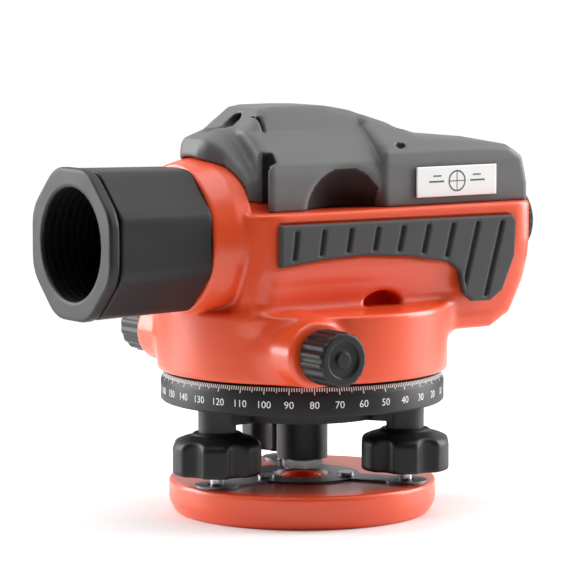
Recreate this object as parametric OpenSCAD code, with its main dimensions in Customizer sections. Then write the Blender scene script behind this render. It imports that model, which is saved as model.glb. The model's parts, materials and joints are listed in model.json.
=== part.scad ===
// Automatic level: a self-levelling optical surveying instrument on a three-screw levelling base.
// +X is the line of sight towards the objective, +Y is the operator's left, +Z is up.
// The origin is the centre of the tripod thread in the underside of the base plate. Millimetres.

/* [Levelling base] */
// Radius of the base plate
base_r = 48.6; // [46:0.2:52]
// Thickness of the base plate
base_h = 12.2; // [11.8:0.1:12.2]
// Radius of the circle on which the foot screws stand
foot_ring_r = 39.5; // [38.5:0.1:40]
// Turn of the levelling base about the vertical axis, in degrees
base_turn = 5; // [0:1:30]
// Radius of a foot screw knob
foot_knob_r = 16.4; // [14.5:0.1:17]
// Number of finger hollows round a foot screw knob
foot_knob_flutes = 6; // [6:1:12]
// Radius of the standard 5/8 inch tripod thread
tripod_r = 7.94; // [7.94]

/* [Alidade] */
// Radius of the graduated horizontal circle
circle_r = 51.5; // [49:0.1:51.5]
// Radius of the drum of the main housing
drum_r = 52.8; // [52:0.1:54]
// Height of the drum's roof above the base face
drum_top_z = 76.2; // [76:0.1:77]
// Height of the horizontal joint between the housing and the top cover
seam_z = 111.5; // [109.5:0.1:112]
// Half of the width of the lower telescope body
body_half = 37; // [36:0.1:38]
// Height of the highest point of the sight hump
top_z = 148.2; // [147:0.1:149]

/* [Telescope] */
// Height of the optical axis above the base face
axis_z = 101.7; // [101.5:0.1:102]
// Outer radius of the sun shade at its rear end
shade_r = 26; // [25:0.1:26.3]
// Distance from the vertical axis to the front of the sun shade
shade_front_x = 97.6; // [90:0.2:105]
// Free radius of the objective lens
lens_r = 19.5; // [18:0.1:19.5]

/* [Drives] */
// Teeth of the tangent gear; one turn of the tangent screw moves the alidade by one tooth
gear_teeth = 96; // [96]
// Distance of the tangent screw from the vertical axis
worm_x = 28; // [28]
// Module of the focusing rack and pinion
focus_module = 0.5; // [0.5]
// Teeth of the focusing pinion
pinion_teeth = 12; // [12]

/* [Hidden] */
$fn = 64;
part_gap = 0.3;
wall = 2.6;

// Places of the three foot screws, and the level of the balls that they stand on.
foot_angles = [base_turn, base_turn + 120, base_turn + 240];
ball_r = 4;
ball_z = 8.3;
knob_low = 17;
knob_well = 28;
knob_phase = 19;
boss_low = 31;
arm_low = 34.6;
arm_high = 40.5;

// Stack of the vertical axis.
circle_low = 40.8;
circle_high = 51.6;
drum_low = 52;
roof_h = 3;
roof_low = drum_top_z - roof_h;
spindle_r = 5.5;
hub_r = 14;
hub_low_r = 9.3;
hub_high = 67;
worm_z = 63.2;
gear_h = 5;
gear_pitch_r = 24;
tooth_pitch = 2 * PI * gear_pitch_r / gear_teeth;

// Stations along the telescope.
collar_r = 28.5;
collar_front_x = 55;
collar_rear_x = 39.5;
pod_front_x = 43;
pod_rear_x = -81.6;
pod_corner = 12;
cover_half = 31.6;
cover_front_x = 34.5;
lens_cell_r = 24;
focus_x = -6;
focus_z = 93.5;
focus_pitch_r = focus_module * pinion_teeth / 2;
rack_y0 = -17;
rack_y1 = -13;
swing_x = -44;
swing_z = 116;
vial_x = 22;
vial_y = -32;
mirror_hinge = [32.5, -32, 85.6];

grey = [0.27, 0.28, 0.29];
black = [0.07, 0.07, 0.075];
orange = [0.90, 0.20, 0.10];
steel = [0.72, 0.73, 0.75];
brass = [0.78, 0.62, 0.30];
glass = [0.55, 0.70, 0.80, 0.5];

// ---------- helpers ----------

// Turns a child whose axis is Z so that its axis is X, pointing forward.
module along_x() { rotate([0, 90, 0]) children(); }

// Turns a child whose axis is Z so that its axis is Y, pointing left.
module along_y() { rotate([-90, 0, 0]) children(); }

module ring(r_out, r_in, h) {
    difference() {
        cylinder(r = r_out, h = h);
        translate([0, 0, -1]) cylinder(r = r_in, h = h + 2);
    }
}

// Tube along X between two stations, on the optical axis.
module axial_ring(x0, x1, r_out, r_in) {
    translate([x0, 0, axis_z]) along_x() ring(r_out, r_in, x1 - x0);
}

module axial_rod(x0, x1, r) {
    translate([x0, 0, axis_z]) along_x() cylinder(r = r, h = x1 - x0);
}

// Rectangle in plan with round corners, from x0 to x1 and half as wide as its width each way.
module plan_block(x0, x1, half, corner) {
    square_x = x1 - x0 - 2 * corner;
    translate([x0 + corner, -half]) square([square_x, 2 * half]);
    translate([x0, -half + corner]) square([x1 - x0, 2 * (half - corner)]);
    for (x = [x0 + corner, x1 - corner], y = [-half + corner, half - corner])
        translate([x, y]) circle(r = corner);
}

// Extrudes a side outline, drawn as [x, z], across the instrument from y0 to y1.
module side_extrude(y0, y1) {
    translate([0, y1, 0]) rotate([90, 0, 0]) linear_extrude(height = y1 - y0) children();
}

// Extrudes a front outline, drawn as [y, z], along the telescope from x0 to x1.
module front_extrude(x0, x1) {
    translate([x0, 0, 0]) rotate([90, 0, 90]) linear_extrude(height = x1 - x0) children();
}

// Outline of a spur gear with straight flanks.
function gear_outline(teeth, root, tip, root_share, tip_share) = [
    for (i = [0:teeth - 1], k = [[-root_share, root], [-tip_share, tip], [tip_share, tip], [root_share, root]])
        let (a = (i + k[0] / 2) * 360 / teeth) [k[1] * cos(a), k[1] * sin(a)]
];

module at_foot(i) {
    rotate([0, 0, foot_angles[i]]) translate([foot_ring_r, 0, 0]) children();
}

// ---------- levelling base ----------

module base_plate() {
    bevel = 3;
    color(orange) difference() {
        union() {
            cylinder(r1 = base_r - bevel, r2 = base_r, h = bevel);
            translate([0, 0, bevel]) cylinder(r = base_r, h = base_h - bevel);
        }
        translate([0, 0, -1]) cylinder(r = tripod_r, h = base_h + 2);
        translate([0, 0, -1]) ring(36, 18, 2.5);
        for (i = [0:2]) {
            at_foot(i) translate([0, 0, ball_z]) sphere(r = ball_r + 0.25);
            at_foot(i) translate([0, 0, ball_z + 1.2]) cylinder(r = 5, h = base_h);
            rotate([0, 0, foot_angles[i]]) translate([17, 0, 5]) cylinder(r = 1.6, h = base_h);
        }
    }
}

// Three-armed leaf spring that holds the balls of the foot screws down.
module foot_spring_plate() {
    color(steel) translate([0, 0, base_h]) difference() {
        union() {
            cylinder(r = 21, h = 0.8);
            for (a = foot_angles) rotate([0, 0, a]) translate([0, -6, 0]) cube([foot_ring_r, 12, 0.8]);
            for (i = [0:2]) at_foot(i) cylinder(r = 8, h = 0.8);
        }
        translate([0, 0, -1]) cylinder(r = 10.5, h = 3);
        for (i = [0:2]) {
            at_foot(i) translate([0, 0, -1]) cylinder(r = 3.4, h = 3);
            rotate([0, 0, foot_angles[i]]) translate([17, 0, -1]) cylinder(r = 1.6, h = 3);
        }
    }
}

module spring_plate_screws() {
    color(steel) for (a = foot_angles) rotate([0, 0, a]) translate([17, 0, 0]) difference() {
        union() {
            translate([0, 0, 6]) cylinder(r = 1.5, h = base_h - 5);
            translate([0, 0, base_h + 0.8]) cylinder(r = 3, h = 1.4);
        }
        translate([-3.5, -0.3, base_h + 1.5]) cube([7, 0.6, 2]);
    }
}

module foot_ball(i) {
    color(steel) at_foot(i) translate([0, 0, ball_z]) sphere(r = ball_r);
}

// Fine-threaded spindle; its cupped lower end rests on the ball.
module foot_spindle(i) {
    color(steel) at_foot(i) difference() {
        union() {
            translate([0, 0, 10.2]) cylinder(r = 4.2, h = 1.7);
            translate([0, 0, 11.9]) cylinder(r = 2.6, h = knob_low - 11.9);
            translate([0, 0, knob_low]) cylinder(r = 3.5, h = 38.2 - knob_low);
        }
        translate([0, 0, ball_z]) sphere(r = ball_r + 0.15);
    }
}

// Fluted knob with a collar that covers the end of the tribrach's boss.
module foot_knob(i) {
    flute_r = 5.4;
    color(black) at_foot(i) difference() {
        union() {
            translate([0, 0, knob_low]) cylinder(r1 = foot_knob_r - 1.5, r2 = foot_knob_r, h = 1.5);
            translate([0, 0, knob_low + 1.5]) cylinder(r = foot_knob_r, h = 9.7);
            translate([0, 0, knob_low + 11.2]) cylinder(r1 = foot_knob_r, r2 = foot_knob_r - 4, h = 2.5);
            translate([0, 0, knob_low + 13.6]) cylinder(r = 8.6, h = 1.2);
        }
        translate([0, 0, knob_well]) cylinder(r = 7, h = 5);
        translate([0, 0, knob_low - 1]) cylinder(r = 3.55, h = 20);
        for (k = [0:foot_knob_flutes - 1]) rotate([0, 0, knob_phase + k * 360 / foot_knob_flutes])
            translate([foot_knob_r + flute_r - 1.9, 0, knob_low - 1]) cylinder(r = flute_r, h = 20);
    }
}

module tribrach() {
    color(black) difference() {
        union() {
            translate([0, 0, 19]) cylinder(r = hub_low_r, h = 20);
            difference() {
                translate([0, 0, arm_low + 0.6]) cylinder(r = 29.9, h = 46.8 - arm_low);
                translate([0, 0, arm_high + 0.8]) cylinder(r = 26.5, h = 20);
            }
            translate([0, 0, arm_low + 1.2]) cylinder(r = hub_r, h = hub_high - arm_low - 1.2);
            for (i = [0:2]) {
                rotate([0, 0, foot_angles[i]]) translate([20, -6.3, arm_low])
                    cube([foot_ring_r - 20, 12.6, arm_high - arm_low]);
                at_foot(i) translate([0, 0, boss_low]) cylinder(r = 6.8, h = arm_high - boss_low);
            }
        }
        translate([0, 0, 18]) cylinder(r = 7.05, h = 60);
        for (i = [0:2]) at_foot(i) translate([0, 0, boss_low - 1]) cylinder(r = 5.2, h = 20);
    }
}

module foot_bushes() {
    color(brass) for (i = [0:2]) at_foot(i) translate([0, 0, boss_low + 0.5])
        ring(5.15, 3.56, arm_high - boss_low - 0.5);
}

module axis_bush() {
    color(brass) translate([0, 0, 19]) ring(7, spindle_r + 0.05, hub_high - 20);
}

// Graduated circle: a vertical band for the figures and a bevel for the degree lines.
module horizontal_circle() {
    color(black) rotate_extrude() polygon([
        [30, 44], [45, 44], [45, circle_low], [circle_r - 0.6, circle_low], [circle_r, circle_low + 0.6],
        [circle_r, 48.4], [circle_r - 1.3, circle_high], [48, circle_high], [47.4, 47], [45, 46.6], [30, 46.6]
    ]);
}

// Friction-clutched gear ring on the tribrach's hub.
module tangent_gear() {
    color(brass) translate([0, 0, worm_z - gear_h / 2]) difference() {
        linear_extrude(height = gear_h) rotate([0, 0, 180 / gear_teeth])
            polygon(gear_outline(gear_teeth, gear_pitch_r - 0.75, gear_pitch_r + 0.45, 0.62, 0.28));
        translate([0, 0, -1]) cylinder(r = hub_r + 0.05, h = gear_h + 2);
    }
}

// ---------- housing ----------

// Side outline of the lower telescope body, [x, z].
module body_side() {
    polygon([
        [48, seam_z], [48, 74], [-30, 74], [-36, 65.5], [-62, 65.5], [-71, 70.5], [-77.5, 84],
        [-82, 96], [-82, seam_z]
    ]);
}

module body_outer() {
    intersection() {
        translate([0, 0, 60]) linear_extrude(height = seam_z - 60)
            plan_block(pod_rear_x, pod_front_x, body_half, pod_corner);
        side_extrude(-60, 60) body_side();
    }
}

module tangent_bosses() {
    for (s = [-1, 1]) translate([worm_x, s > 0 ? 30 : -50.5, worm_z]) along_y() cylinder(r = 12, h = 20.5);
}

module housing_outer() {
    translate([0, 0, drum_low]) cylinder(r = drum_r, h = drum_top_z - drum_low);
    body_outer();
    tangent_bosses();
    axial_rod(collar_rear_x, 46.5, collar_r);
    translate([46.4, 0, axis_z]) along_x() cylinder(r1 = collar_r, r2 = 26.3, h = collar_front_x - 46.4);
    axial_rod(30, collar_rear_x, 25.8);
    translate([20, -17, 70]) cube([26, 34, 14]);
}

// Grip outline on the side of the body, [x, z].
module grip_side(front_x) {
    polygon([
        [front_x, 108.2], [-67, 107.4], [-68.6, 105.5], [-68, 92], [-62, 79], [-56, 75.6], [-48, 76],
        [-44, 79.5], [-42, 88], [-37, 91.3], [-20, 94], [0, 95.4], [18, 94.8], [front_x, 93]
    ]);
}

// Round window of the focusing knob's seat.
module focus_seat(r, y0, y1) {
    translate([focus_x, y0, focus_z]) along_y() cylinder(r = r, h = y1 - y0);
}

module housing_hollows() {
    // drum, telescope body and rear pocket
    translate([0, 0, drum_low - 1]) cylinder(r = drum_r - wall, h = roof_low - drum_low + 1);
    difference() {
        union() {
            translate([0, 0, drum_top_z + 0.8]) linear_extrude(height = 60)
                plan_block(pod_rear_x + wall, 32, 19.4, 6);
            translate([0, 4.6, 86]) linear_extrude(height = seam_z - 3 - 86)
                plan_block(pod_rear_x + wall, -15, body_half - wall - 1.2 - 4.6, 9);
            translate([0, 2.3, 100]) linear_extrude(height = 60)
                plan_block(pod_rear_x + wall, -15, 26.3, 6);
        }
        // the slanting rear wall stays whole
        side_extrude(-60, 60)
            polygon([[-90, 60], [-68.5, 60], [-68.5, 74], [-74.2, 85], [-78.4, 97], [-90, 97]]);
    }
    // lens cell bore and shaft bores
    axial_rod(43.6, 60, lens_cell_r + 0.05);
    axial_rod(20, 50, 19);
    translate([worm_x, -60, worm_z]) along_y() cylinder(r = 4.6, h = 120);
    focus_seat(5.2, -60, -15);
    axial_rod(-90, -70, 13.05);
    translate([0, 0, roof_low - 1]) cylinder(r = 5, h = 10);
    for (a = [30, 150, 270]) rotate([0, 0, a]) translate([12.5, 0, roof_low - 1]) cylinder(r = 1.6, h = 10);
}

module housing_cuts() {
    // nothing hangs below the drum's rim
    translate([0, 0, drum_low - 6]) cylinder(r = 60, h = 6);
    // hooded hollow in the left flank, above the drum
    intersection() {
        translate([-11.5, 60, 70.6]) along_y_down() cylinder(r = 11.6, h = 35.5);
        translate([-30, 20, drum_top_z - 1.8]) cube([40, 60, 20]);
    }
    // open corner for the circular vial and its mirror
    translate([12.5, -60, drum_top_z]) cube([30.6, 38, 31.5]);
    // round seat of the focusing knob
    focus_seat(17.4, -60, -30);
    // shallow bed of each grip
    side_extrude(body_half - 1.2, 60) grip_side(36);
    side_extrude(-60, -body_half + 1.2) intersection() {
        grip_side(36);
        translate([-90, 60]) square([64.3, 60]);
    }
}

// Axis from left to right.
module along_y_down() { rotate([90, 0, 0]) children(); }

module main_housing() {
    color(orange) difference() {
        housing_outer();
        housing_hollows();
        difference() {
            housing_cuts();
            translate([0, 0, drum_low]) cylinder(r = drum_r, h = drum_top_z - drum_low);
        }
    }
}

module axis_spindle() {
    color(steel) difference() {
        union() {
            translate([0, 0, 18.4]) cylinder(r = spindle_r, h = roof_low - 18.4);
            translate([0, 0, roof_low - 3]) cylinder(r = 16, h = 3);
        }
        translate([0, 0, 10]) cylinder(r = 3, h = 70);
        for (a = [30, 150, 270]) rotate([0, 0, a]) translate([12.5, 0, 60]) cylinder(r = 1.6, h = 20);
    }
}

module axis_nut() {
    color(steel) translate([0, 0, 15.6]) difference() {
        cylinder(r = 8, h = 2.8, $fn = 6);
        translate([0, 0, -1]) cylinder(r = 3, h = 6);
    }
}

// Small white pointer on the housing that reads the circle.
module circle_index() {
    color("white") rotate([0, 0, -150]) translate([drum_r, -0.9, drum_low + 0.6]) cube([0.5, 1.8, 6]);
}

// ---------- top cover ----------

// Side outline of the cover, [x, z].
module cover_side(drop) {
    polygon([
        [49.4, seam_z - 1], [49.4, 133.5 - drop], [45, 138 - drop], [38, 141 - drop], [31, 141.2 - drop],
        [28, 145 - drop], [22.5, top_z - 0.3 - drop], [10, top_z - drop], [-2, top_z - 0.4 - drop],
        [-14, 145.4 - drop], [-26, 141.4 - drop], [-38, 136 - drop], [-56, 135 - drop], [-73, 132.2 - drop],
        [-78.5, 128 - drop], [-81, 118 - drop], [-81.3, seam_z - 1]
    ]);
}

// Cross-section of the cover, [y, z].
module cover_front(half, drop) {
    polygon([
        [-half, seam_z - 1], [half, seam_z - 1], [half, 126.5 - drop], [half - 1.6, 130 - drop],
        [half - 6, 134 - drop],
        [15, 141.5 - drop], [11, top_z + 0.3 - drop], [-11, top_z + 0.3 - drop], [-15, 141.5 - drop],
        [-half + 6, 134 - drop], [-half + 1.6, 130 - drop], [-half, 126.5 - drop]
    ]);
}

module cover_solid(inset) {
    intersection() {
        side_extrude(-40, 40) cover_side(inset);
        union() {
            intersection() {
                front_extrude(-90 + inset, 60) cover_front(cover_half - inset, inset);
                translate([0, 0, 100]) linear_extrude(height = 60)
                    plan_block(-81.3 + inset, cover_front_x - inset, cover_half - inset, 3.5);
            }
            cover_nose(inset);
        }
    }
}

// Narrow nose that rides over the collar in front of the sight hump.
module cover_nose(inset) {
    intersection() {
        front_extrude(20, 60) polygon([
            [-23.5, 114.8], [23.5, 114.8], [23.5, 121 - inset], [19, 127 - inset], [12, 133.8 - inset],
            [6, 139.3 - inset], [4, 142 - inset], [-4, 142 - inset], [-6, 139.3 - inset],
            [-12, 133.8 - inset], [-19, 127 - inset], [-23.5, 121 - inset]
        ]);
        translate([0, 0, 100]) linear_extrude(height = 60) polygon([
            [20, -23.5], [collar_rear_x - 0.3, -23.5], [42.5, -13], [47, -8.5], [49.4, -5], [49.4, 5],
            [47, 8.5], [42.5, 13], [collar_rear_x - 0.3, 23.5], [20, 23.5]
        ]);
    }
}

// Hollow in the cover's flank, deepest in front of the rear block.
module cover_scoop(side) {
    translate([0, side * 45, 0]) linear_extrude(height = 129)
        polygon([[24, 0], [24, -13 * side], [0, -19 * side], [-13.4, -20.5 * side], [-13.4, 0]]);
}

module top_cover() {
    color(grey) difference() {
        cover_solid(0);
        intersection() {
            translate([0, 0, -1]) cover_solid(wall);
            union() {
                translate([-90, -60, 0]) cube([73, 120, 136]);
                translate([-18, -20.5, 0]) cube([46, 41, 136]);
            }
        }
        translate([-90, -60, 90]) cube([150, 120, seam_z - 90]);
        axial_rod(28, 60, 26);
        axial_rod(collar_rear_x - 0.2, 60, collar_r + 0.1);
        axial_rod(-90, -55, 13.1);
        cover_scoop(1);
        cover_scoop(-1);
        // stepped sighting tube through the hump
        translate([-50, 0, 141.8]) along_x() cylinder(r = 1.7, h = 100);
        translate([14, 0, 141.8]) along_x() cylinder(r = 3.3, h = 60);
        // upright groove between the nose and each flank
        for (y = [-28.3, 22.5]) translate([30.6, y, 104]) cube([5, 5.8, 28.2]);
        side_extrude(cover_half - 0.7, cover_half + 5) label_outline();
        for (p = cover_screw_places) {
            translate([p[0], p[1], 130.4]) cylinder(r = 2.9, h = 30);
            translate([p[0], p[1], 120]) cylinder(r = 1.6, h = 30);
        }
    }
}

cover_screw_places = [[-62, 16], [-62, -16], [-30, 17]];

module cover_screws() {
    color(steel) for (p = cover_screw_places) translate([p[0], p[1], 0]) difference() {
        union() {
            translate([0, 0, 130.4]) cylinder(r = 2.7, h = 2);
            translate([0, 0, 124]) cylinder(r = 1.5, h = 7);
        }
        translate([-3, -0.4, 131.8]) cube([6, 0.8, 2]);
    }
}

module label_plate() {
    color("white") side_extrude(cover_half - 0.7, cover_half + 0.3)
        label_outline();
}

module label_outline() {
    polygon([
        [-27.2, 125], [-27.2, 115], [-28.2, 114], [-64, 114], [-65, 115], [-65, 125], [-64, 126], [-28.2, 126]
    ]);
}

// Rubber grip with slanting ribs.
module grip(front_x, y_in, y_out) {
    color(black) difference() {
        side_extrude(y_in, y_out) grip_side(front_x);
        for (k = [0:9]) translate([-62 + k * 10.6, 0, 90]) rotate([0, -13, 0])
            translate([-0.6, y_out > 0 ? y_out - 0.9 : y_in - 1, -25]) cube([1.2, 1.9, 50]);
    }
}

module grip_left() { grip(35.7, body_half - 1.2, body_half + 0.8); }

module grip_right() {
    color(black) intersection() {
        mirror([0, 1, 0]) grip(35.7, body_half - 1.2, body_half + 0.8);
        translate([-90, -60, 60]) cube([64, 60, 60]);
    }
}

// ---------- tangent drive ----------

module tangent_shaft() {
    color(steel) {
        translate([worm_x, -61, worm_z]) along_y() cylinder(r = 2, h = 122);
    }
}

// Points of the worm's thread: one trapezium for each step along the helix.
thread_steps = 32;
thread_turns = 8;
function thread_ring(i) =
    let (a = 360 * i / thread_steps + 180, y = tooth_pitch * (i / thread_steps - thread_turns / 2))
    [for (k = [[2.4, -0.36], [4.3, -0.13], [4.3, 0.13], [2.4, 0.36]]) [k[0] * cos(a), y + k[1], -k[0] * sin(a)]];
thread_count = thread_steps * thread_turns;
thread_points = [for (i = [0:thread_count]) each thread_ring(i)];
thread_faces = [
    [3, 2, 1, 0],
    for (i = [0:thread_count - 1], k = [0:3])
        [4 * i + k, 4 * i + (k + 1) % 4, 4 * i + 4 + (k + 1) % 4, 4 * i + 4 + k],
    [for (k = [0:3]) 4 * thread_count + k]
];

module tangent_worm() {
    core = thread_turns * tooth_pitch + 4;
    color(steel) translate([worm_x, 0, worm_z]) difference() {
        union() {
            polyhedron(points = thread_points, faces = thread_faces);
            translate([0, -core / 2, 0]) along_y() cylinder(r = 3.1, h = core);
        }
        translate([0, -20, 0]) along_y() cylinder(r = 2, h = 40);
    }
}

module tangent_knob(side) {
    color(black) translate([worm_x, 0, worm_z]) rotate([0, 0, side > 0 ? 0 : 180]) along_y() difference() {
        union() {
            translate([0, 0, 51.6]) cylinder(r = 9.6, h = 12);
            translate([0, 0, 63.6]) cylinder(r1 = 9.6, r2 = 7.8, h = 1.8);
        }
        translate([0, 0, 40]) cylinder(r = 2, h = 21);
        for (k = [0:17]) rotate([0, 0, k * 20]) translate([10.4, 0, 51]) cylinder(r = 1.2, h = 16);
    }
}

module tangent_bushes() {
    color(brass) for (y = [42, -50]) translate([worm_x, y, worm_z]) along_y() ring(4.55, 2.05, 8);
}

// ---------- objective ----------

module objective_cell() {
    color(black) {
        axial_ring(44, 54.5, lens_cell_r, lens_r - 0.5);
    }
}

module objective_lens() {
    bulge_r = 60;
    color(glass) intersection() {
        axial_rod(collar_front_x, collar_front_x + 8, lens_r);
        translate([collar_front_x + 7 - bulge_r, 0, axis_z]) sphere(r = bulge_r, $fn = 180);
    }
}

module sun_shade() {
    color(black) difference() {
        union() {
            translate([collar_front_x + 0.2, 0, axis_z]) along_x()
                cylinder(r1 = shade_r, r2 = shade_r + 1, h = shade_front_x - 1.7 - collar_front_x);
            translate([shade_front_x - 1.5, 0, axis_z]) along_x()
                cylinder(r1 = shade_r + 1, r2 = shade_r - 0.5, h = 1.5);
        }
        axial_rod(62, shade_front_x + 1, lens_r + 0.2);
        axial_rod(50, 63, lens_r + 0.1);
    }
}

// ---------- focusing ----------

module focus_guide() {
    color(black) difference() {
        union() {
            axial_ring(-27, 30, 12, 10.05);
            axial_ring(26, 30, 19, 10.05);
            translate([-27, -7, drum_top_z + 0.8]) cube([4, 14, 14.4]);
        }
        axial_rod(-28, 31, 10.05);
        translate([-22, -20, rack_line + 0.3]) cube([37, 20, 3.3]);
    }
}

rack_count = 16;
focus_pitch = PI * focus_module;
rack_x0 = focus_x - 8 * focus_pitch;
rack_line = focus_z + focus_pitch_r;

// Rack outline, [x, z], with its teeth pointing down.
module rack_side() {
    polygon(concat(
        [[rack_x0 + rack_count * focus_pitch, rack_line + 3.2], [rack_x0, rack_line + 3.2]],
        [for (i = [0:rack_count - 1], k = [[0.17, 0.62], [0.33, -0.45], [0.67, -0.45], [0.83, 0.62]])
            if (k[0] < 2) [rack_x0 + (i + k[0]) * focus_pitch, rack_line + k[1]]]
    ));
}

module focus_carriage() {
    color(black) {
        difference() {
            union() {
                axial_ring(focus_x - 9, focus_x + 11, 10, 8);
                side_extrude(rack_y0 + 0.3, rack_y1 - 0.3) rack_side();
                translate([focus_x - 5, rack_y1 - 1, rack_line + 0.8]) cube([12, 7, 2.4]);
            }
            axial_rod(focus_x - 10, focus_x + 20, 8);
        }
    }
}

module focusing_lens() {
    color(glass) difference() {
        axial_rod(focus_x - 2, focus_x + 3, 7.95);
        translate([focus_x - 41, 0, axis_z]) sphere(r = 40, $fn = 220);
        translate([focus_x + 42, 0, axis_z]) sphere(r = 40, $fn = 220);
    }
}

module focus_shaft() {
    color(steel) {
        translate([focus_x, -50, focus_z]) along_y() cylinder(r = 2, h = 50 + rack_y0 - 0.5);
        translate([focus_x, rack_y0 - 0.5, focus_z]) rotate([-90, 0, 0])
            linear_extrude(height = 4.5) polygon(gear_outline(pinion_teeth, focus_pitch_r - 0.62, focus_pitch_r + 0.45, 0.56, 0.26));
    }
}

module focus_bush() {
    color(brass) translate([focus_x, -30, focus_z]) along_y() ring(5.15, 2.05, 9);
}

module focus_knob() {
    color(black) translate([focus_x, 0, focus_z]) along_y_down() difference() {
        union() {
            translate([0, 0, 34.2]) cylinder(r = 15.6, h = 15.3);
            translate([0, 0, 49.5]) cylinder(r1 = 15.6, r2 = 13.6, h = 1.8);
        }
        translate([0, 0, 30]) cylinder(r = 2, h = 20);
        translate([0, 0, 50.2]) cylinder(r = 11, h = 3);
        for (k = [0:29]) rotate([0, 0, k * 12]) translate([16.2, 0, 30]) cylinder(r = 1, h = 30);
    }
}

module focus_knob_cap() {
    color(orange) translate([focus_x, 0, focus_z]) along_y_down() translate([0, 0, 50.2]) cylinder(r = 10.9, h = 1.1);
}

// ---------- eyepiece ----------

module eyepiece_mount() {
    color(black) difference() {
        union() {
            axial_rod(-84.8, -60, 13);
            axial_rod(-84.8, -82, 15.5);
        }
        axial_rod(-90, -50, 9.55);
    }
}

module reticle_ring() {
    color(black) axial_ring(-64, -61, 9.5, 7);
}

module reticle() {
    color(glass) axial_rod(-63.2, -61.8, 6.95);
}

module eyepiece_barrel() {
    color(black) axial_ring(-94.5, -67, 9.5, 7.5);
}

module eyepiece_lenses() {
    color(glass) for (x = [-73, -92]) axial_rod(x, x + 3, 7.45);
}

module dioptre_ring() {
    color(black) difference() {
        axial_ring(-96, -86.3, 13.4, 9.52);
        for (k = [0:23]) translate([-100, 0, axis_z]) along_x() rotate([0, 0, k * 15])
            translate([13.9, 0, 0]) cylinder(r = 0.9, h = 20);
    }
}

module eye_cup() {
    color(black) axial_ring(-97.4, -96, 12.2, 8);
}

// ---------- compensator ----------

module compensator_frame() {
    color(steel) {
        translate([swing_x - 15, -12, drum_top_z + 0.8]) cube([30, 24, 3]);
        for (s = [-1, 1]) {
            translate([swing_x - 3, s * 12 - 1, drum_top_z + 3.8]) cube([6, 2, swing_z + 3 - drum_top_z - 3.8]);
        }
        translate([swing_x - 3, -11, swing_z]) cube([6, 22, 3]);
    }
}

module fixed_prisms() {
    color(glass) for (s = [-1, 1]) side_extrude(-8, 8)
        polygon([[swing_x + s * 15, drum_top_z + 3.8], [swing_x + s * 15, 110], [swing_x + s * 9.5, 104],
                 [swing_x + s * 9.5, drum_top_z + 3.8]]);
}

module pendulum() {
    color(steel) translate([swing_x - 6, -8, 85.5]) cube([12, 16, 8]);
}

module pendulum_prism() {
    color(glass) side_extrude(-7, 7)
        polygon([[swing_x - 6, 93.5], [swing_x + 6, 93.5], [swing_x + 6, 98], [swing_x, 104], [swing_x - 6, 98]]);
}

module suspension_ribbons() {
    color(steel) for (x = [-4, 4], y = [-7.8, 7.4])
        translate([swing_x + x * 0.4 - 0.3, y, 93.5]) cube([0.6, 0.4, swing_z - 94]);
}

module damper_magnets() {
    color(steel) for (x = [-4, 4]) translate([swing_x + x, 0, drum_top_z + 3.8]) cylinder(r = 3, h = 3.2);
}

// ---------- circular vial and mirror ----------

module vial_holder() {
    color(black) translate([vial_x, vial_y, drum_top_z]) difference() {
        cylinder(r = 8.6, h = 6.6);
        translate([0, 0, 2]) cylinder(r = 6.8, h = 10);
        for (a = [60, 180, 300]) rotate([0, 0, a]) translate([7.7, 0, 4.1]) cylinder(r = 0.6, h = 4);
    }
}

module vial_glass() {
    color([0.75, 0.9, 0.4, 0.6]) translate([vial_x, vial_y, drum_top_z + 2]) intersection() {
        cylinder(r = 6.75, h = 4.6);
        translate([0, 0, 4.6 - 40]) sphere(r = 40, $fn = 220);
    }
}

module vial_screws() {
    color(steel) translate([vial_x, vial_y, drum_top_z]) for (a = [60, 180, 300])
        rotate([0, 0, a]) translate([7.7, 0, 4.1]) cylinder(r = 0.58, h = 2.8);
}

// Two ears on the drum's roof that carry the mirror's hinge.
module mirror_bracket() {
    color(black) difference() {
        for (y = [-7.9, 6.1]) translate([mirror_hinge[0], mirror_hinge[1] + y, mirror_hinge[2]]) along_y() union() {
            cylinder(r = 1.6, h = 1.8);
            translate([-1.6, 0, 0]) cube([3.2, mirror_hinge[2] - drum_top_z, 1.8]);
        }
        translate(mirror_hinge) translate([0, -20, 0]) along_y() cylinder(r = 0.8, h = 40);
    }
}

mirror_tilt = 45;
mirror_length = 17;

// Places a child, drawn lying back from the hinge, at the mirror's opening angle.
module at_mirror() {
    translate(mirror_hinge) rotate([0, mirror_tilt, 0]) children();
}

module mirror_frame() {
    color(black) at_mirror() difference() {
        union() {
            translate([-mirror_length, -5.7, -0.9]) cube([mirror_length, 11.4, 1.8]);
            translate([0, -5.7, 0]) along_y() cylinder(r = 1.5, h = 11.4);
            translate([0, -7.8, 0]) along_y() cylinder(r = 0.74, h = 15.6);
        }
        translate([-mirror_length + 1, -4.7, -2]) cube([mirror_length - 3.6, 9.4, 2]);
    }
}

module mirror_glass() {
    color([0.9, 0.92, 0.95]) at_mirror() translate([-mirror_length + 1.05, -4.65, -0.8])
        cube([mirror_length - 3.7, 9.3, 0.8]);
}

// ---------- nodes ----------

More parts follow.
